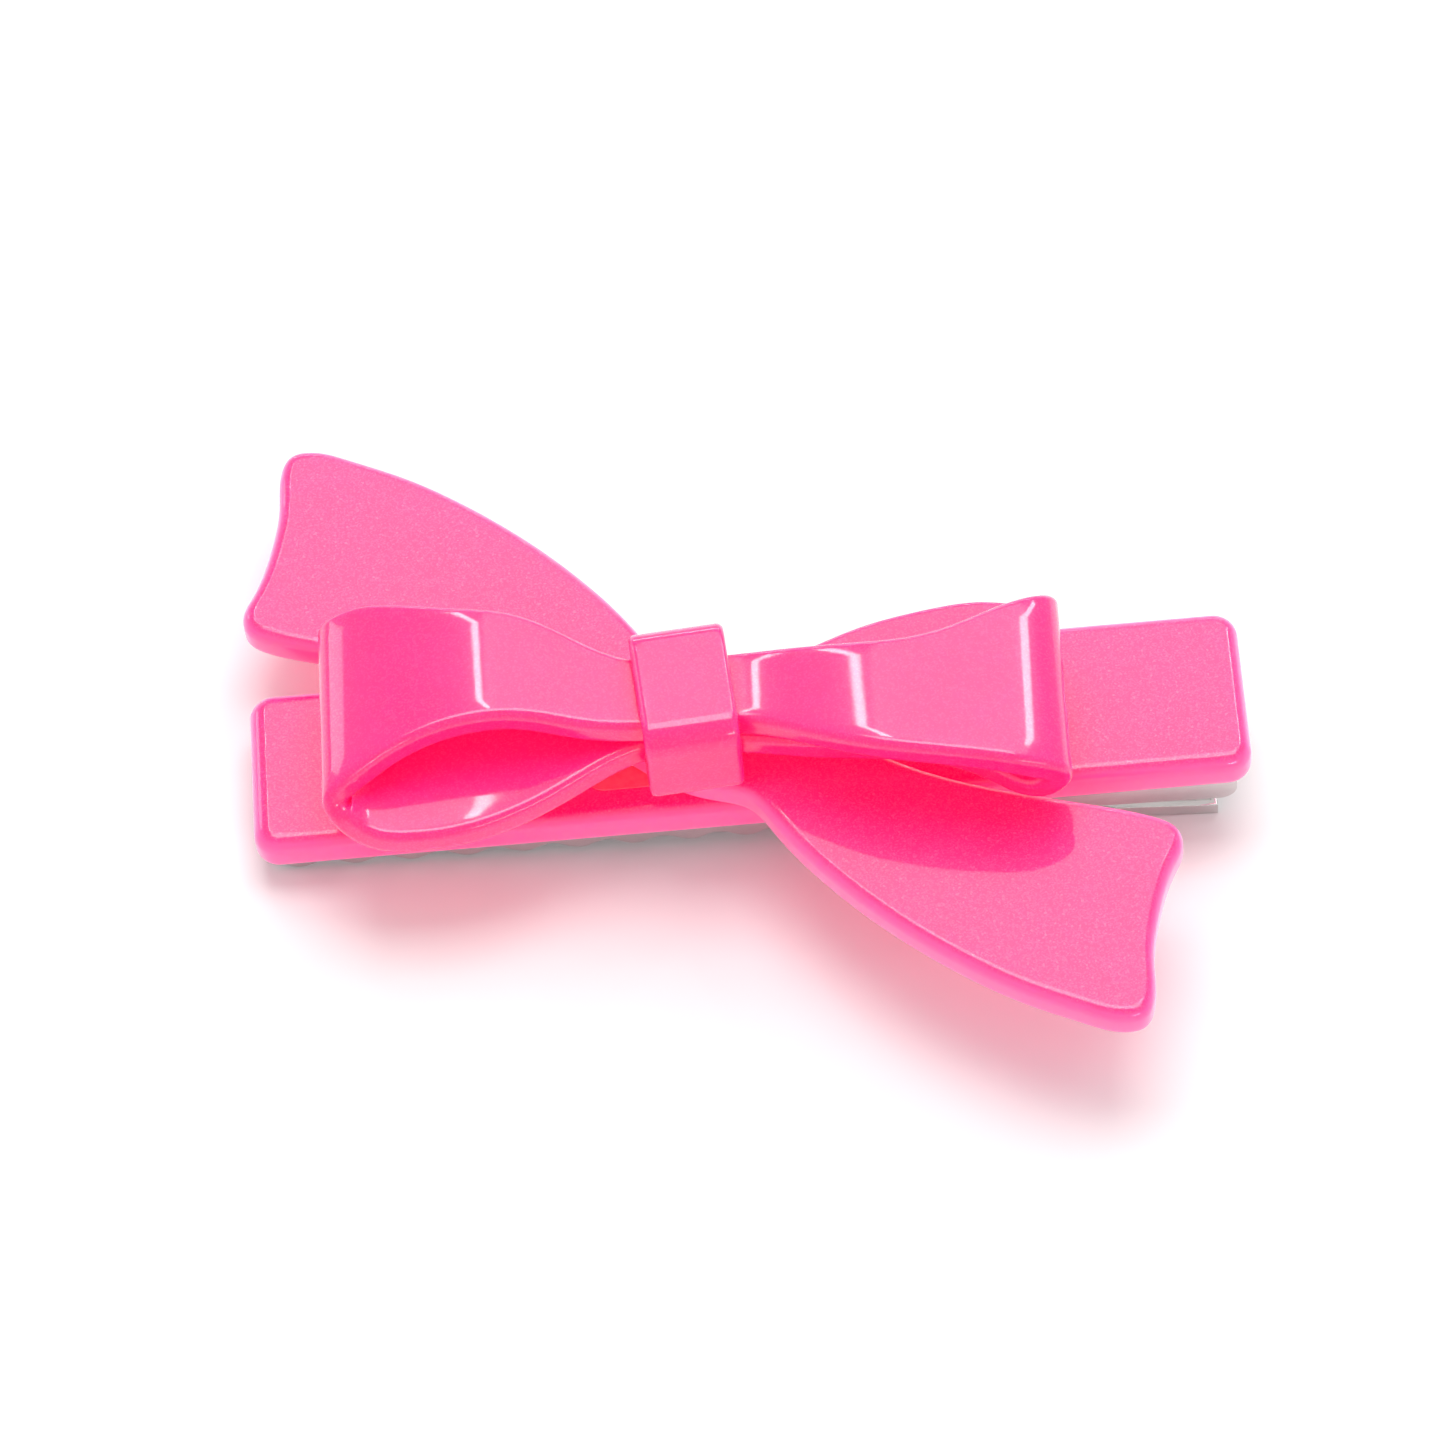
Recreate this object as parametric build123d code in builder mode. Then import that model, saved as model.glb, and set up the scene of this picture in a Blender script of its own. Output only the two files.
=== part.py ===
"""Alligator hair clip with a resin bow: two sprung metal levers under a bar, a tail plate and a looped bow.

Frame: +X runs along the bar from the jaw tip to the handles, +Y to the back, +Z up. Everything is drawn with
the bar level and its underside at z = 0. The clip lies on its lower lever, which lifts the handle end, so
every piece is turned by rest_tilt when it is written, and the origin is the middle of the whole box's base.
"""
from build123d import *
from math import atan2, cos, degrees, pi, radians, sin, tan
import os

# ---- Driving dimensions, millimetres and degrees ----
glue_gap = 0.15                 # adhesive under the bar
film_gap = 0.10                 # adhesive under the tails and under the knot

# Bar: a straight plate that everything is glued to
bar_length = 64.2
bar_width = 12.2
bar_thickness = 2.8
bar_corner = 1.6
bar_edge = 1.0

# Tails: one flat plate, narrow in the middle, with two fishtail ends
tail_thickness = 2.4
tail_edge = 0.8
tail_centre = (-2.57, -1.22)

# Bow: two loops of flat strip, whose ends meet inside the knot
ribbon_thickness = 1.95
ribbon_edge = 0.55
ribbon_gap = 0.10               # between the two layers at the waist
waist_gap = 0.05                # from the waist's middle to a loop's ends
bow_centre = (-3.3, -2.3)
bow_turn = -0.8                 # about Z, against the bar

# Knot: a band round the ribbon's waist
knot_length = 6.1
knot_width = 9.4
knot_height = 7.0
knot_corner = 1.7
knot_wall = 1.2
knot_side_wall = 1.3
knot_edge = 0.45
knot_hole_corner = 0.5
knot_turn = 4.0                 # about Z, against the bar
knot_centre = (-3.65, -2.5)

# Sheet metal levers
sheet = 0.4
upper_half_width = 5.0
upper_left = -31.2
upper_right = 31.1
upper_depth_left = 0.97         # depth of the side walls under the bar at the jaw tip
upper_depth_slope = 0.0263      # how much deeper they get per millimetre
bend_radius = 0.35
side_gap = 0.3                  # between the nested side walls
lower_left = -30.9
lower_tip_z = -1.55
lower_bend_x = 3.0              # where the jaw ends and the handle splays
lower_right = 29.9
lower_tail_z = -5.35
rim_height = 1.1                # the handle's upturned rim, above the sheet
tooth_pitch = 3.6
tooth_height = 0.67             # crest to trough
inner_tooth_height = 0.3
jaw_right = 1.5                 # the teeth end here

# Hinge
pivot_x = 12.0
pin_radius = 0.55
pin_head_radius = 0.95
pin_head = 0.25
upper_ear_radius = 1.3
lower_ear_radius = 1.12
pin_clearance = 0.05
wire = 0.5
coil_radius = 1.0               # to the middle of the wire
coil_half_length = 1.8
coil_turns = 6.5
leg_length = 7.0
leg_spread = 0.6                # each leg leans this much towards its lever

# ---- Values that follow from them ----
lever_top = -glue_gap
upper_underside = lever_top - sheet
upper_inside = upper_half_width - sheet
lower_half_width = upper_inside - side_gap
handle_slope = 5.5
lower_bend_z = lower_tail_z + (lower_right - lower_bend_x) * tan(radians(handle_slope))
pivot_z = upper_underside - coil_radius - wire / 2 - 0.09
rest_tilt = degrees(atan2(lower_tip_z - lower_tail_z, lower_right - lower_left))
tail_bottom = bar_thickness + film_gap
tail_top = tail_bottom + tail_thickness
knot_bottom = tail_top + film_gap
waist_middle = knot_bottom + knot_height / 2


def upper_wall_depth(x):
    """Height of the upper lever's side wall edge, without its teeth."""
    return -(upper_depth_left + upper_depth_slope * (x - upper_left))


def lower_sheet_bottom(x):
    """Underside of the lower lever's sheet: the jaw runs straight, then the handle splays down."""
    if x < lower_bend_x:
        share = (x - lower_left) / (lower_bend_x - lower_left)
        return lower_tip_z + share * (lower_bend_z - lower_tip_z)
    return lower_bend_z - (x - lower_bend_x) * tan(radians(handle_slope))


def wave(start, end, height, level):
    """Points of a rounded saw edge that swings by height about level(x), four to each tooth."""
    steps = round((end - start) / tooth_pitch * 4)
    places = [start + (end - start) * i / steps for i in range(steps + 1)]
    return [(x, level(x) + height / 2 * cos(2 * pi * (x - start) / tooth_pitch)) for x in places]


# ---- Bar ----
with BuildPart() as base_bar:
    with BuildSketch():
        RectangleRounded(bar_length, bar_width, bar_corner)
    extrude(amount=bar_thickness)
    rims = base_bar.faces().filter_by(Axis.Z).edges()
    fillet(rims, bar_edge)

# ---- Adhesive film between the bar and the upper lever ----
with BuildPart() as clip_glue_film:
    with BuildSketch():
        RectangleRounded(bar_length - 6.0, 2 * upper_half_width - 1.6, 1.5)
    extrude(amount=-glue_gap)

# ---- Tail plate ----
# Half of the outline: from the waist's front edge, down the long edge to the fishtail and back along its short
# edge to the waist's back edge. The other half is the same, turned by half a turn about the waist's middle.
tail_outline = [
    (-1.0, -4.3),
    (0.9, -4.95),
    (2.3, -5.6),
    (3.6, -7.4),
    (6.6, -11.7),
    (10.8, -16.2),
    (14.7, -19.5),
    (18.7, -22.2),
    (22.2, -24.0),
    (24.5, -24.85),
    (26.0, -24.6),
    (26.7, -23.2),
    (26.9, -20.4),
    (27.5, -17.2),
    (28.9, -13.4),
    (29.5, -12.0),
    (29.3, -10.8),
    (28.0, -9.8),
    (25.0, -8.7),
    (19.6, -7.05),
    (14.0, -4.9),
    (9.0, -1.8),
    (4.8, 1.6),
]
with BuildPart() as tail_plate:
    with BuildSketch(Plane.XY.offset(tail_bottom).move(Location((*tail_centre, 0)))):
        with BuildLine():
            Spline(tail_outline + [(-x, -y) for x, y in tail_outline], periodic=True)
        make_face()
    extrude(amount=tail_thickness)
    rims = tail_plate.faces().filter_by(Axis.Z).edges()
    fillet(rims, tail_edge)

# ---- Adhesive between the bar and the tails ----
with BuildPart() as tail_glue_pad:
    with BuildSketch(Plane.XY.offset(bar_thickness)):
        with Locations(tail_centre):
            RectangleRounded(16.0, 5.5, 1.2)
    extrude(amount=film_gap)

# ---- Bow loops ----
# One loop's path, seen from the front, from the middle of the waist over the top, round the bend and back
# underneath: distance from the waist, height of the strip's middle, front edge and back edge.
layer_offset = (ribbon_thickness + ribbon_gap) / 2
top_z = waist_middle + layer_offset
low_z = waist_middle - layer_offset
loop_path = [
    (waist_gap, top_z, -2.6, 2.6),
    (3.6, top_z + 0.05, -2.8, 2.7),
    (7.2, top_z + 0.55, -4.3, 2.5),
    (11.2, top_z + 1.15, -6.0, 2.1),
    (15.4, top_z + 1.40, -7.1, 2.3),
    (18.9, top_z + 1.25, -7.8, 3.7),
    (21.3, top_z + 0.60, -8.1, 5.0),
    (22.75, waist_middle + 0.5, -8.0, 6.0),
    (21.5, low_z - 0.55, -7.5, 7.0),
    (18.9, low_z - 1.10, -5.8, 7.6),
    (15.4, low_z - 1.20, -3.9, 7.4),
    (11.2, low_z - 0.95, -3.3, 6.3),
    (7.2, low_z - 0.50, -3.1, 4.4),
    (3.6, low_z - 0.05, -2.8, 2.9),
    (waist_gap, low_z, -2.6, 2.6),
]


def loop_plane(index, side):
    """Plane across the strip at one place on the loop; side is 1 for the right loop and -1 for the left."""
    x, z, front, back = loop_path[index]
    before = loop_path[max(index - 1, 0)]
    after = loop_path[min(index + 1, len(loop_path) - 1)]
    along = Vector(side * (after[0] - before[0]), 0, after[1] - before[1])
    if index in (0, len(loop_path) - 1):
        along = Vector(side * (1 if index == 0 else -1), 0, 0)
    middle = Vector(side * x, side * (front + back) / 2, z)
    return Plane(origin=middle, x_dir=(0, 1, 0), z_dir=along)


bow_loops = {}
for name, side in (("left_loop", -1), ("right_loop", 1)):
    with BuildPart() as loop:
        for index, (x, z, front, back) in enumerate(loop_path):
            with BuildSketch(loop_plane(index, side)):
                RectangleRounded(back - front, ribbon_thickness, ribbon_edge)
        loft()
    bow_loops[name] = loop

# ---- Knot ----
with BuildPart() as bow_knot:
    with BuildSketch(Plane.YZ.offset(-knot_length / 2)):
        with Locations((0, waist_middle)):
            RectangleRounded(knot_width, knot_height, knot_corner)
    extrude(amount=knot_length)
    fillet(bow_knot.faces().filter_by(Axis.X).edges(), knot_edge)
    with BuildSketch(Plane.YZ.offset(-knot_length / 2)):
        with Locations((0, waist_middle)):
            RectangleRounded(knot_width - 2 * knot_side_wall, knot_height - 2 * knot_wall, knot_hole_corner)
    extrude(amount=knot_length, mode=Mode.SUBTRACT)

# ---- Adhesive under the knot ----
with BuildPart() as bow_glue_pad:
    with BuildSketch(Plane.XY.offset(tail_top)):
        with Locations(Location((*knot_centre, 0), (0, 0, knot_turn))):
            RectangleRounded(5.4, 5.6, 1.2)
    extrude(amount=film_gap)

# ---- Upper lever: a channel glued under the bar, its side walls cut into rounded teeth ----
with BuildPart() as upper_lever:
    with BuildSketch(Plane.XZ.offset(-upper_half_width)):
        teeth = wave(upper_left, jaw_right, tooth_height, upper_wall_depth)
        end_depth = upper_wall_depth(upper_right)
        with BuildLine():
            Line((upper_left, lever_top), (upper_right, lever_top))
            Spline(teeth)
            Polyline(teeth[-1], (upper_right, end_depth), (upper_right, lever_top))
            Line((upper_left, lever_top), teeth[0])
        make_face()
        with Locations((pivot_x, pivot_z)):
            Circle(upper_ear_radius)
    extrude(amount=2 * upper_half_width)
    tail_corner = upper_lever.edges().filter_by(Axis.Y).sort_by(lambda e: e.center().X - e.center().Z)[-1]
    fillet(tail_corner, 1.1)
    fillet(upper_lever.edges().filter_by(Axis.X).group_by(Axis.Z)[-1], bend_radius)
    with BuildSketch(Plane.XY.offset(upper_underside)):
        Rectangle(2 * bar_length, 2 * upper_inside)
    extrude(amount=-10, mode=Mode.SUBTRACT)
    with BuildSketch(Plane.XZ.offset(-upper_half_width)):
        with Locations((pivot_x, pivot_z)):
            Circle(pin_radius)
    extrude(amount=2 * upper_half_width, mode=Mode.SUBTRACT)

# ---- Lower lever: a narrower channel, open upwards, that nests in the upper one ----
with BuildPart() as lower_lever:
    with BuildSketch(Plane.XZ.offset(-lower_half_width)):
        teeth = wave(lower_left, jaw_right, inner_tooth_height, lambda x: -0.93)
        rim_start = pivot_x + 6.0
        rim_rise = sheet + rim_height
        with BuildLine():
            Spline(teeth)
            Polyline(
                teeth[-1],
                (pivot_x, pivot_z + lower_ear_radius),
                (pivot_x + 1.0, pivot_z + 0.5),
                (rim_start, lower_sheet_bottom(rim_start) + rim_rise),
                (lower_right, lower_tail_z + rim_rise),
                (lower_right, lower_tail_z),
                (lower_bend_x, lower_bend_z),
                (lower_left, lower_tip_z),
                teeth[0],
            )
        make_face()
        with Locations((pivot_x, pivot_z)):
            Circle(lower_ear_radius)
    extrude(amount=2 * lower_half_width)
    with BuildSketch(Plane.XZ.offset(-lower_half_width + sheet)):
        inside_right = lower_right - sheet
        with BuildLine():
            Polyline(
                (lower_left - 1, lower_tip_z + sheet),
                (lower_bend_x, lower_bend_z + sheet),
                (inside_right, lower_sheet_bottom(inside_right) + sheet),
                (inside_right, 1.0),
                (lower_left - 1, 1.0),
                close=True,
            )
        make_face()
    extrude(amount=2 * (lower_half_width - sheet), mode=Mode.SUBTRACT)
    with BuildSketch(Plane.XZ.offset(-lower_half_width)):
        with Locations((pivot_x, pivot_z)):
            Circle(pin_radius + pin_clearance)
    extrude(amount=2 * lower_half_width, mode=Mode.SUBTRACT)

# ---- Hinge pin, peened over at both ends ----
with BuildPart() as hinge_pin:
    with BuildSketch(Plane.XZ.offset(-upper_half_width)):
        with Locations((pivot_x, pivot_z)):
            Circle(pin_radius)
    extrude(amount=2 * upper_half_width)
    for start, rise in ((-upper_half_width, -pin_head), (upper_half_width, pin_head)):
        with BuildSketch(Plane.XZ.offset(start)):
            with Locations((pivot_x, pivot_z)):
                Circle(pin_head_radius)
        extrude(amount=rise)
    fillet(hinge_pin.faces().sort_by(Axis.Y)[0].edges() + hinge_pin.faces().sort_by(Axis.Y)[-1].edges(), 0.15)

# ---- Torsion spring: a coil round the pin, one leg pressing up and one pressing down ----
lower_lean = handle_slope + leg_spread
turns = coil_turns - (lower_lean + leg_spread) / 360
start_side = (-sin(radians(lower_lean)), 0, -cos(radians(lower_lean)))
coil_start = Plane(origin=(pivot_x, -coil_half_length, pivot_z), x_dir=start_side, z_dir=(0, 1, 0))
with BuildPart() as torsion_spring:
    with BuildLine() as coil:
        Helix(pitch=2 * coil_half_length / turns, height=2 * coil_half_length, radius=coil_radius)
    with BuildSketch(Plane(origin=coil.line @ 0, z_dir=coil.line % 0)):
        Circle(wire / 2)
    sweep(path=coil.line, is_frenet=True)
    for end in torsion_spring.faces().filter_by(GeomType.PLANE):
        extrude(end, amount=leg_length, dir=end.normal_at())

# ---- Put the bow's pieces in place, then lay the whole clip on its lower lever ----
for loop in bow_loops.values():
    loop.part.locate(Location((*bow_centre, 0), (0, 0, bow_turn)))
bow_knot.part.locate(Location((*knot_centre, 0), (0, 0, knot_turn)))
torsion_spring.part.locate(Location(coil_start))
pieces = {
    "base_bar": base_bar,
    "clip_glue_film": clip_glue_film,
    "tail_plate": tail_plate,
    "tail_glue_pad": tail_glue_pad,
    **bow_loops,
    "bow_knot": bow_knot,
    "bow_glue_pad": bow_glue_pad,
    "upper_lever": upper_lever,
    "lower_lever": lower_lever,
    "hinge_pin": hinge_pin,
    "torsion_spring": torsion_spring,
}
lying = Location((0, 0, 0), (0, -rest_tilt, 0))
lying_pieces = {name: lying * piece.part for name, piece in pieces.items()}
box = Compound(list(lying_pieces.values())).bounding_box()
rest_shift = Vector(-box.center().X, -box.center().Y, -box.min.Z)

os.makedirs("parts", exist_ok=True)
for name, solid in lying_pieces.items():
    placed = solid.translate(rest_shift)
    placed.label = name
    export_step(placed, f"parts/{name}.step")
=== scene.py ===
"""Looks for the alligator hair clip with a resin bow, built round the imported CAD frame."""
import math

import bmesh
import bpy
import numpy as np
from mathutils import Matrix, Vector


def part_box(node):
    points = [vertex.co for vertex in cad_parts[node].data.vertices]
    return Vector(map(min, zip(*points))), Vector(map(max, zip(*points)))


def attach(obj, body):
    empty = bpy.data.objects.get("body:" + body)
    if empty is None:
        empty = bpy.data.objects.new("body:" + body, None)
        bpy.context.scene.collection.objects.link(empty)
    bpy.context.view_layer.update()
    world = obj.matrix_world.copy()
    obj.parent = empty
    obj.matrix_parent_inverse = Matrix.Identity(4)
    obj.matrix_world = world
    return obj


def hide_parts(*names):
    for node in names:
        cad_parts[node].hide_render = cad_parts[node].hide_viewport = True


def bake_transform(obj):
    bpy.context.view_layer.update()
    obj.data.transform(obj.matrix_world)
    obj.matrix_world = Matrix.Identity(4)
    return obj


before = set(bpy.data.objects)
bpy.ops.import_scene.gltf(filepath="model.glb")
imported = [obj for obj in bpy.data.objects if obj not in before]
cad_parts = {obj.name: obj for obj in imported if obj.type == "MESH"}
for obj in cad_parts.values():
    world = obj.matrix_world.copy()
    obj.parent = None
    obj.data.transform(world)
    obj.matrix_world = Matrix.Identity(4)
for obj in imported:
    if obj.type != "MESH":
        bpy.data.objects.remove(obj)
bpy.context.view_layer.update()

# ---- Sizes, in millimetres, in the clip's own frame: bar level, its underside at z = 0 ----
MM = 0.001
# The clip lies on its jaw's tip and its handle's end: 3.8 apart in height, 60.8 apart in length.
REST_TILT = math.atan2(3.8, 60.8)
BAR_LENGTH = 64.2
BAR_WIDTH = 12.2
BAR_THICKNESS = 2.8
BAR_CORNER = 1.6
BAR_EDGE = 1.0
TAIL_BOTTOM = 2.9
TAIL_TOP = 5.3
TAIL_EDGE = 0.8
TAIL_CENTRE = (-2.57, -1.22)
# The plate is this much smaller than its CAD solid all round, so as to stay in the CAD box.
CAD_CLEARANCE = 0.004
# A ring this far inside the rounded rim keeps the rim's shading off the flat faces.
CAP_MARGIN = 0.08
# Half of the outline about the centre; the other half is the same one turned round.
TAIL_OUTLINE = [
    (-1.0, -4.3), (0.9, -4.95), (2.3, -5.6), (3.6, -7.4), (6.6, -11.7), (10.8, -16.2),
    (14.7, -19.5), (18.7, -22.2), (22.2, -24.0), (24.5, -24.85), (26.0, -24.6), (26.7, -23.2),
    (26.9, -20.4), (27.5, -17.2), (28.9, -13.4), (29.5, -12.0), (29.3, -10.8), (28.0, -9.8),
    (25.0, -8.7), (19.6, -7.05), (14.0, -4.9), (9.0, -1.8), (4.8, 1.6),
]
STRIP_THICKNESS = 1.95
STRIP_EDGE = 0.6
BOW_CENTRE = (-3.3, -2.3)
BOW_TURN = math.radians(-0.8)
WAIST_MIDDLE = 8.9
STRIP_RISE = 1.025
TOP_Z = WAIST_MIDDLE + STRIP_RISE
LOW_Z = WAIST_MIDDLE - STRIP_RISE
# A loop from the waist over the top, round the bend and back: distance out, height, front and back edge.
LOOP_ROOT = [(0.05, TOP_Z, -2.6, 2.6), (3.6, TOP_Z + 0.05, -2.8, 2.7), (7.2, TOP_Z + 0.55, -4.3, 2.5)]
RIGHT_TOP = [
    (11.2, TOP_Z + 1.15, -6.0, 2.1),
    (15.4, TOP_Z + 1.36, -7.1, 2.3),
    (18.9, TOP_Z + 1.20, -7.8, 3.7),
    (21.3, TOP_Z + 0.60, -8.1, 5.0),
    (22.75, WAIST_MIDDLE + 0.5, -8.0, 6.0),
]
# The left loop's top comes to its crest sooner and rolls down to the bend.
LEFT_TOP = [
    (11.2, TOP_Z + 1.38, -6.2, 2.0),
    (15.4, TOP_Z + 1.15, -7.25, 2.15),
    (18.9, TOP_Z + 0.52, -8.3, 3.2),
    (21.3, TOP_Z - 0.28, -8.7, 4.4),
    (22.75, WAIST_MIDDLE - 0.15, -8.4, 5.5),
]
LOOP_RETURN = [
    (21.5, LOW_Z - 0.55, -7.5, 7.0),
    (18.9, LOW_Z - 1.10, -5.8, 7.6),
    (15.4, LOW_Z - 1.20, -3.9, 7.4),
    (11.2, LOW_Z - 0.95, -3.3, 6.3),
    (7.2, LOW_Z - 0.50, -3.1, 4.4),
    (3.6, LOW_Z - 0.05, -2.8, 2.9),
    (0.05, LOW_Z, -2.6, 2.6),
]
KNOT_CENTRE = (-3.65, -2.5)
KNOT_TURN = math.radians(4.0)
KNOT_LENGTH = 6.1
KNOT_WIDTH = 9.4
KNOT_HEIGHT = 7.0
KNOT_CORNER = 1.7
KNOT_WALL = 1.2
KNOT_EDGE = 0.45
SHEET = 0.4
# The lower lever's handle: its end in x and z, its slope, and where its upturned rim starts.
HANDLE_END = (29.9, -5.35)
HANDLE_SLOPE = math.radians(5.5)
RIM_START = 17.9
# The visual rim keeps this share of the CAD rim's height, measured above a little margin.
RIM_KEPT = 0.5
RIM_MARGIN = 0.1
# Stamped metal: rounding of its edges, and the angles that tell flats, edges and creases.
STAMPED_EDGE = 0.07
MERGE_DISTANCE = 0.0005
FLAT_ANGLE = math.radians(0.4)
EDGE_ANGLE = math.radians(40)
CREASE_ANGLE = math.radians(50)

# ---- From the clip's own frame to the row frame ----
lying = Matrix.Rotation(-REST_TILT, 4, "Y")
bar_low, bar_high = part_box("base_bar")
bar_middle = (bar_low + bar_high) / 2
shift = bar_middle - lying @ Vector((0, 0, BAR_THICKNESS / 2 * MM))
REST = Matrix.Translation(shift) @ lying


def placed(points, centre=(0, 0), turn=0.0):
    """Points in the clip's own frame, turned and moved into place, as row-frame vectors."""
    place = Matrix.Translation(Vector((centre[0] * MM, centre[1] * MM, 0))) @ Matrix.Rotation(turn, 4, "Z")
    return [REST @ place @ Vector((x * MM, y * MM, z * MM)) for x, y, z in points]


def linked(name, data):
    """A new object in the scene."""
    thing = bpy.data.objects.new(name, data)
    bpy.context.scene.collection.objects.link(thing)
    return thing


def smooth_piece(mesh, body, replaced):
    """A smooth piece, named as its mesh, that rides on a body and stands for a CAD node."""
    for face in mesh.polygons:
        face.use_smooth = True
    piece = linked(mesh.name, mesh)
    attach(piece, body)
    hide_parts(replaced)
    return piece


def plastic_piece(name, points, faces, replaced):
    """A plastic piece from points and faces; all of the plastic is glued to the upper jaw."""
    mesh = bpy.data.meshes.new(name)
    mesh.from_pydata([tuple(p) for p in points], [], faces)
    mesh.validate()
    return smooth_piece(mesh, "upper_jaw", replaced)


# ---- Curves and shells ----
def cubic(points, steps, closed):
    """A smooth cubic curve through points, with steps places on each span."""
    values = np.array(points, float)
    if closed:
        values = np.vstack([values, values[:1]])
    spans = np.linalg.norm(np.diff(values, axis=0), axis=1)
    count = len(spans)
    size = count if closed else count + 1
    system = np.zeros((size, size))
    right = np.zeros((size, values.shape[1]))
    slopes = np.diff(values, axis=0) / spans[:, None]
    for i in range(size):
        if not closed and i in (0, count):
            system[i, i] = 1
            continue
        before = spans[i - 1]
        after = spans[i]
        system[i, (i - 1) % size] += before
        system[i, i] += 2 * (before + after)
        system[i, (i + 1) % size] += after
        right[i] = 6 * (slopes[i] - slopes[i - 1])
    bends = np.linalg.solve(system, right)
    result = []
    for i in range(count):
        h = spans[i]
        m0 = bends[i]
        m1 = bends[(i + 1) % size]
        for k in range(steps):
            b = k / steps
            a = 1 - b
            curve = ((a ** 3 - a) * m0 + (b ** 3 - b) * m1) * h * h / 6
            result.append(a * values[i] + b * values[i + 1] + curve)
    if not closed:
        result.append(values[-1])
    return np.array(result)


def rounded_rectangle(width, height, radius, arc_steps, side_steps):
    """Outline of a rounded rectangle about (0, 0), anticlockwise, with the outward normal of each point."""
    points = []
    normals = []
    corners = [(1, -1, -90), (1, 1, 0), (-1, 1, 90), (-1, -1, 180)]
    for index, (sx, sy, start) in enumerate(corners):
        cx = sx * (width / 2 - radius)
        cy = sy * (height / 2 - radius)
        for k in range(arc_steps + 1):
            angle = math.radians(start + 90 * k / arc_steps)
            points.append((cx + radius * math.cos(angle), cy + radius * math.sin(angle)))
            normals.append((math.cos(angle), math.sin(angle)))
        nx, ny, _ = corners[(index + 1) % 4]
        end = (
            nx * (width / 2 - radius) + radius * normals[-1][0],
            ny * (height / 2 - radius) + radius * normals[-1][1],
        )
        last = points[-1]
        for k in range(1, side_steps):
            share = k / side_steps
            points.append((last[0] + (end[0] - last[0]) * share, last[1] + (end[1] - last[1]) * share))
            normals.append(normals[-1])
    return np.array(points), np.array(normals)


def joined_rings(rings, closed):
    """Faces that join equal rings of points one after the other; open tubes are capped."""
    size = len(rings[0])
    points = [p for ring in rings for p in ring]
    faces = []
    pairs = len(rings) if closed else len(rings) - 1
    for i in range(pairs):
        j = (i + 1) % len(rings)
        for k in range(size):
            m = (k + 1) % size
            faces.append((i * size + k, i * size + m, j * size + m, j * size + k))
    if not closed:
        faces.append(tuple(reversed(range(size))))
        faces.append(tuple(range((len(rings) - 1) * size, len(rings) * size)))
    return points, faces


def slab_rings(outline, normals, bottom, top, edge, arc_steps=7):
    """Rings of a flat plate with rounded rims, from its underside to its top."""
    inner = edge + CAP_MARGIN
    levels = [(inner, bottom)]
    for k in range(arc_steps + 1):
        angle = math.radians(-90 + 90 * k / arc_steps)
        levels.append((edge * (1 - math.cos(angle)), bottom + edge * (1 + math.sin(angle))))
    for k in range(arc_steps + 1):
        angle = math.radians(90 * k / arc_steps)
        levels.append((edge * (1 - math.cos(angle)), top - edge * (1 - math.sin(angle))))
    levels.append((inner, top))
    rings = []
    for inset, height in levels:
        ring = outline - normals * inset
        rings.append([(x, y, height) for x, y in ring])
    return rings


def curve_normals(outline):
    """Outward normals of a closed, anticlockwise outline."""
    along = np.roll(outline, -1, axis=0) - np.roll(outline, 1, axis=0)
    along /= np.linalg.norm(along, axis=1)[:, None]
    return np.stack([along[:, 1], -along[:, 0]], axis=1)


def make_bar():
    """The long bar with rounded corners and rims."""
    outline, normals = rounded_rectangle(BAR_LENGTH, BAR_WIDTH, BAR_CORNER, arc_steps=10, side_steps=24)
    points, faces = joined_rings(slab_rings(outline, normals, 0, BAR_THICKNESS, BAR_EDGE), closed=False)
    return plastic_piece("pearl_bar", placed(points), faces, "base_bar")


def make_tails():
    """The flat plate whose two ends are the bow's tails, a hair inside its CAD solid."""
    turned = [(-x, -y) for x, y in TAIL_OUTLINE]
    outline = cubic(TAIL_OUTLINE + turned, steps=10, closed=True)
    outline -= curve_normals(outline) * CAD_CLEARANCE
    rings = slab_rings(outline, curve_normals(outline), TAIL_BOTTOM, TAIL_TOP, TAIL_EDGE)
    points, faces = joined_rings(rings, closed=False)
    moved = placed(points, TAIL_CENTRE)
    return plastic_piece("pearl_tails", moved, faces, "tail_plate")


def make_loop(name, side):
    """One strip loop; side is 1 for the right one and -1 for the left one, which is turned half round."""
    top = RIGHT_TOP if side > 0 else LEFT_TOP
    path = cubic(LOOP_ROOT + top + LOOP_RETURN, steps=9, closed=False)
    rings = []
    for index, (x, z, front, back) in enumerate(path):
        before = path[max(index - 1, 0)]
        after = path[min(index + 1, len(path) - 1)]
        along = np.array([after[0] - before[0], after[1] - before[1]])
        along /= np.linalg.norm(along)
        across, _ = rounded_rectangle(
            back - front, STRIP_THICKNESS, STRIP_EDGE, arc_steps=6, side_steps=10
        )
        middle = (front + back) / 2
        ring = []
        for y, depth in across:
            ring.append((side * (x - depth * along[1]), side * (y + middle), z + depth * along[0]))
        rings.append(ring)
    points, faces = joined_rings(rings, closed=False)
    moved = placed(points, BOW_CENTRE, BOW_TURN)
    return plastic_piece(name + "_resin", moved, faces, name)


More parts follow.
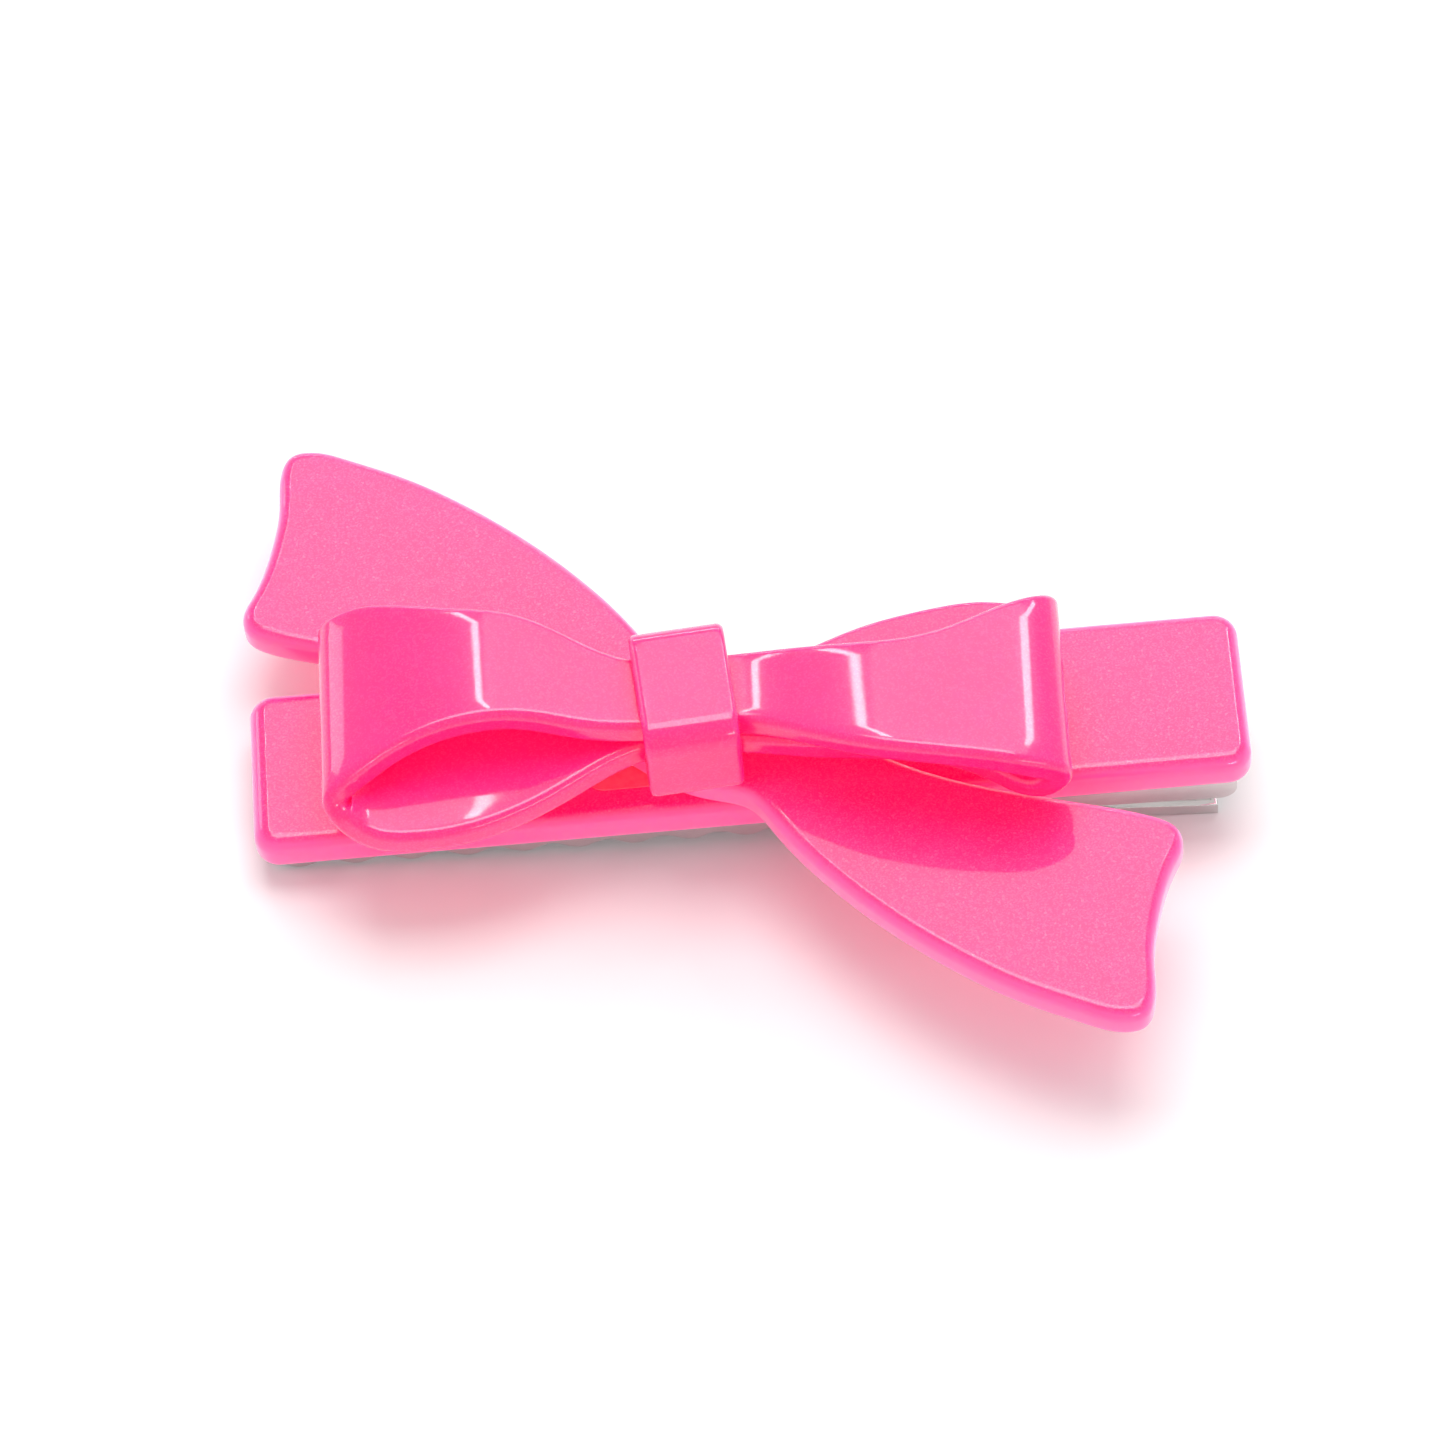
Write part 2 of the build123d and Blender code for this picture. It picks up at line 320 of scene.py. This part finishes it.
def make_knot():
    """The rectangular band round the bow's waist."""
    outline, normals = rounded_rectangle(KNOT_WIDTH, KNOT_HEIGHT, KNOT_CORNER, arc_steps=12, side_steps=12)
    section, _ = rounded_rectangle(KNOT_LENGTH, KNOT_WALL, KNOT_EDGE, arc_steps=6, side_steps=8)
    rings = []
    for (y, z), (ny, nz) in zip(outline, normals):
        ring = []
        for x, depth in section:
            inset = KNOT_WALL / 2 + depth
            ring.append((x, y - ny * inset, WAIST_MIDDLE + z - nz * inset))
        rings.append(ring[::-1])
    points, faces = joined_rings(rings, closed=True)
    moved = placed(points, KNOT_CENTRE, KNOT_TURN)
    return plastic_piece("knot_resin", moved, faces, "bow_knot")


# ---- Materials ----
class Finish:
    """A material's node tree, with the few node groups that the finishes share."""

    def __init__(self, name):
        self.material = bpy.data.materials.new(name)
        self.material.use_nodes = True
        self.nodes = self.material.node_tree.nodes
        self.links = self.material.node_tree.links
        self.shader = self.nodes["Principled BSDF"]
        self.place = self.nodes.new("ShaderNodeTexCoord")

    def settings(self, **values):
        """Constants on the shader's own sockets, named with underscores for spaces."""
        for name, value in values.items():
            self.shader.inputs[name.replace("_", " ")].default_value = value

    def drive(self, socket, value):
        self.links.new(value, self.shader.inputs[socket])

    def cloud(self, size_mm, detail=3.0):
        """Soft variation from 0 to 1."""
        noise = self.nodes.new("ShaderNodeTexNoise")
        noise.inputs["Scale"].default_value = 1 / (size_mm * MM)
        noise.inputs["Detail"].default_value = detail
        self.links.new(self.place.outputs["Object"], noise.inputs["Vector"])
        return noise.outputs["Fac"]

    def ranged(self, value, low, high, to_low=0.0, to_high=1.0):
        """A value mapped from the range low to high onto another, and held at its ends."""
        ramp = self.nodes.new("ShaderNodeMapRange")
        ramp.inputs["From Min"].default_value = low
        ramp.inputs["From Max"].default_value = high
        ramp.inputs["To Min"].default_value = to_low
        ramp.inputs["To Max"].default_value = to_high
        self.links.new(value, ramp.inputs["Value"])
        return ramp.outputs["Result"]

    def grains(self, size_mm, low, high):
        """One random share for each small grain: 0 up to low, and rising towards high."""
        cells = self.nodes.new("ShaderNodeTexVoronoi")
        cells.inputs["Scale"].default_value = 1 / (size_mm * MM)
        self.links.new(self.place.outputs["Object"], cells.inputs["Vector"])
        parts = self.nodes.new("ShaderNodeSeparateColor")
        self.links.new(cells.outputs["Color"], parts.inputs["Color"])
        return self.ranged(parts.outputs["Red"], low, high)

    def rims(self, flat, steep):
        """Mask for the painted rim highlight: 0 where the surface faces up and 1 where it falls away, by
        the object's own normal.
        """
        axes = self.nodes.new("ShaderNodeSeparateXYZ")
        self.links.new(self.place.outputs["Normal"], axes.inputs["Vector"])
        return self.ranged(axes.outputs["Z"], flat, steep)

    def mixed(self, share, first, second):
        """Colour that goes from first to second as share goes from 0 to 1."""
        mix = self.nodes.new("ShaderNodeMix")
        mix.data_type = "RGBA"
        self.links.new(share, mix.inputs["Factor"])
        for socket, value in ((mix.inputs["A"], first), (mix.inputs["B"], second)):
            if isinstance(value, tuple):
                socket.default_value = (*value, 1)
            else:
                self.links.new(value, socket)
        return mix.outputs["Result"]

    def bump(self, height, strength, distance_mm):
        node = self.nodes.new("ShaderNodeBump")
        node.inputs["Strength"].default_value = strength
        node.inputs["Distance"].default_value = distance_mm * MM
        self.links.new(height, node.inputs["Height"])
        self.drive("Normal", node.outputs["Normal"])


def pink_plastic(finish):
    """What both plastics share: light spreads inside them, and a faint painted glow stands for the light
    that comes out through them, brightening their shade and the floor beneath.
    """
    finish.settings(
        Subsurface_Weight=1.0,
        Subsurface_Radius=(1.0, 0.08, 0.20),
        Subsurface_Scale=3.0 * MM,
        Specular_IOR_Level=0.25,
        Coat_Weight=1.0,
        # Painted glow: a faint red emission, though the plastic is no lamp, lights up its shaded parts and
        # the floor below.
        Emission_Color=(1.0, 0.0, 0.10, 1),
        Emission_Strength=0.30,
    )


def pearl_acetate():
    """Hot pink plate with fine pearl grains under a polished, clear surface; its rims are painted lighter,
    a painted highlight for the bright room they reflect.
    """
    finish = Finish("pearl_acetate")
    pink_plastic(finish)
    base = finish.mixed(finish.cloud(7.0), (0.95, 0.012, 0.20), (0.98, 0.022, 0.235))
    fine = finish.mixed(finish.grains(0.10, 0.40, 1.8), base, (1.0, 0.12, 0.37))
    bright = finish.mixed(finish.grains(0.14, 0.93, 1.15), fine, (1.0, 0.22, 0.50))
    # Painted highlight: the colour turns lighter where the surface falls away, standing in for light
    # reflected on the rims.
    finish.drive("Base Color", finish.mixed(finish.rims(0.97, 0.70), bright, (1.0, 0.11, 0.38)))
    finish.settings(Roughness=0.32, Coat_Roughness=0.05)
    finish.settings(Sheen_Weight=0.50, Sheen_Roughness=0.45, Sheen_Tint=(0.92, 0.55, 0.95, 1))
    finish.bump(finish.cloud(1.4, 1.0), 0.12, 0.02)
    return finish.material


def bow_resin():
    """Creamier, milky pink strip with a high polish."""
    finish = Finish("bow_resin")
    pink_plastic(finish)
    base = finish.mixed(finish.cloud(5.0), (0.96, 0.014, 0.20), (0.99, 0.026, 0.235))
    finish.drive("Base Color", finish.mixed(finish.grains(0.11, 0.50, 2.2), base, (1.0, 0.10, 0.34)))
    finish.settings(Roughness=0.22, Coat_Roughness=0.06)
    finish.bump(finish.cloud(2.2, 1.0), 0.10, 0.03)
    return finish.material


def plated_steel():
    """Bright nickel plate over stamped sheet, its gloss a little uneven from handling."""
    finish = Finish("plated_steel")
    finish.drive("Base Color", finish.mixed(finish.cloud(2.5), (0.58, 0.57, 0.56), (0.74, 0.73, 0.72)))
    finish.drive("Roughness", finish.ranged(finish.cloud(1.2), 0.0, 1.0, 0.07, 0.22))
    finish.settings(Metallic=1.0)
    finish.bump(finish.cloud(0.9, 2.0), 0.25, 0.02)
    return finish.material


def spring_wire():
    """Drawn steel wire, darker than the plate, with fine scuffs."""
    finish = Finish("spring_wire")
    finish.drive("Base Color", finish.mixed(finish.cloud(0.4), (0.24, 0.24, 0.25), (0.42, 0.41, 0.41)))
    finish.settings(Metallic=1.0, Roughness=0.28)
    finish.bump(finish.cloud(0.15, 2.0), 0.2, 0.01)
    return finish.material


def adhesive():
    """Thin cured glue, pink from the plastic behind it, with small waves on its surface."""
    finish = Finish("adhesive")
    finish.drive("Base Color", finish.mixed(finish.cloud(0.8), (0.90, 0.08, 0.22), (0.95, 0.26, 0.38)))
    finish.settings(Roughness=0.25, Subsurface_Weight=0.6, Subsurface_Scale=0.5 * MM)
    finish.bump(finish.cloud(0.5), 0.4, 0.05)
    return finish.material


def dress(piece, material):
    piece.data.materials.clear()
    piece.data.materials.append(material)


pearl = pearl_acetate()
resin = bow_resin()
steel = plated_steel()
wire = spring_wire()
glue = adhesive()
for piece in (make_bar(), make_tails()):
    dress(piece, pearl)
for piece in (make_loop("left_loop", -1), make_loop("right_loop", 1), make_knot()):
    dress(piece, resin)
for node in ("clip_glue_film", "tail_glue_pad", "bow_glue_pad"):
    dress(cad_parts[node], glue)


# ---- Stamped levers and pin, with the worn, rounded edges that catch the light ----
def make_rim_shallow(form):
    """The handle's upturned rim is shallow, so its bright trough shows over it."""
    level = REST.inverted()
    for vert in form.verts:
        x, y, z = (level @ vert.co) / MM
        floor = HANDLE_END[1] + (HANDLE_END[0] - x) * math.tan(HANDLE_SLOPE) + SHEET
        if x > RIM_START and z > floor + RIM_MARGIN:
            vert.co = REST @ Vector((x * MM, y * MM, (floor + (z - floor) * RIM_KEPT) * MM))


def make_metal(node, body):
    """A copy of a CAD metal part with its flat faces made whole and its edges rounded."""
    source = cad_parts[node]
    form = bmesh.new()
    form.from_mesh(source.data)
    form.transform(source.matrix_world)
    bmesh.ops.remove_doubles(form, verts=form.verts, dist=MERGE_DISTANCE * MM)
    bmesh.ops.dissolve_limit(form, angle_limit=FLAT_ANGLE, verts=form.verts, edges=form.edges)
    if node == "lower_lever":
        make_rim_shallow(form)
    solid_edges = [edge for edge in form.edges if edge.is_manifold]
    sharp = [edge for edge in solid_edges if edge.calc_face_angle() > EDGE_ANGLE]
    bmesh.ops.bevel(
        form,
        geom=sharp,
        offset=STAMPED_EDGE * MM,
        segments=2,
        profile=0.5,
        affect="EDGES",
        clamp_overlap=True,
    )
    bmesh.ops.recalc_face_normals(form, faces=form.faces)
    mesh = bpy.data.meshes.new(node + "_plated")
    form.to_mesh(mesh)
    form.free()
    dress(smooth_piece(mesh, body, node), steel)
    mesh.set_sharp_from_angle(angle=CREASE_ANGLE)


for node, body in (("upper_lever", "upper_jaw"), ("lower_lever", "lower_jaw"), ("hinge_pin", "upper_jaw")):
    make_metal(node, body)


# ---- Torsion spring: its coil sits between the two levers ----
def make_spring():
    """The CAD spring's mesh as one still piece, riding on no jaw: its lower leg lies on one jaw, its upper
    leg on the other, its coil between.
    """
    piece = linked("coil_spring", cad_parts["torsion_spring"].data.copy())
    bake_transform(piece)
    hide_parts("torsion_spring")
    return piece


dress(make_spring(), wire)


# ---- Floor, light and camera, in metres ----
def make_floor():
    half = 1.2
    corners = [(-half, -half, 0), (half, -half, 0), (half, half, 0), (-half, half, 0)]
    mesh = bpy.data.meshes.new("floor")
    mesh.from_pydata(corners, [], [(0, 1, 2, 3)])
    floor = linked("floor", mesh)
    finish = Finish("white_table")
    finish.drive("Base Color", finish.mixed(finish.cloud(6.0), (0.90, 0.90, 0.90), (0.93, 0.93, 0.93)))
    finish.settings(Roughness=0.7, Specular_IOR_Level=0.2)
    dress(floor, finish.material)


def softbox(name, place, size, power):
    """A rectangular light aimed at the clip."""
    data = bpy.data.lights.new(name, "AREA")
    data.shape = "RECTANGLE"
    data.size, data.size_y = size
    data.energy = power
    light = linked(name, data)
    light.location = place
    light.rotation_euler = (-Vector(place)).to_track_quat("-Z", "Y").to_euler()


def make_light():
    """An even white studio; the flat tops mirror back_box, and the strips draw the bow's streaks."""
    world = bpy.data.worlds.new("studio")
    bpy.context.scene.world = world
    world.use_nodes = True
    sky = world.node_tree.nodes["Background"]
    sky.inputs["Color"].default_value = (1.0, 1.0, 1.0, 1)
    sky.inputs["Strength"].default_value = 0.66
    softbox("top_box", (0.0, 0.12, 0.56), (0.40, 0.26), 1.5)
    softbox("back_low", (0.0, 0.60, 0.20), (0.50, 0.04), 0.5)
    softbox("back_box", (0.12, 0.42, 0.56), (0.50, 0.34), 0.90)
    softbox("left_streak", (-0.147, 0.373, 0.512), (0.018, 0.20), 0.16)
    softbox("left_low", (-0.45, 0.344, 0.20), (0.10, 0.20), 0.16)
    softbox("front_strip", (0.22, -0.50, 0.26), (0.30, 0.05), 0.45)
    softbox("right_streak", (0.33, 0.35, 0.38), (0.030, 0.20), 0.20)


def make_camera():
    """The photograph's view: a long lens, seen from above the front and turned slightly."""
    elevation = math.radians(55.0)
    bearing = math.radians(3.56)
    lens = 200.0
    sensor = 36.0
    view_width = 93.2 * MM
    off_centre_right = -1.655 * MM
    off_centre_up = 1.104 * MM
    distance = view_width * lens / sensor
    right = Vector((math.cos(bearing), -math.sin(bearing), 0))
    ahead = Vector((math.sin(bearing), math.cos(bearing), 0))
    look = ahead * math.cos(elevation) - Vector((0, 0, math.sin(elevation)))
    up = ahead * math.sin(elevation) + Vector((0, 0, math.cos(elevation)))
    aim = bar_middle + right * off_centre_right + up * off_centre_up
    data = bpy.data.cameras.new("camera")
    data.lens = lens
    data.sensor_width = sensor
    data.clip_start = 0.01
    data.clip_end = 10
    camera = linked("camera", data)
    axes = Matrix((right, up, -look)).transposed().to_4x4()
    camera.matrix_world = Matrix.Translation(aim - look * distance) @ axes
    bpy.context.scene.camera = camera


make_floor()
make_light()
make_camera()
bpy.context.scene.view_settings.view_transform = "Standard"
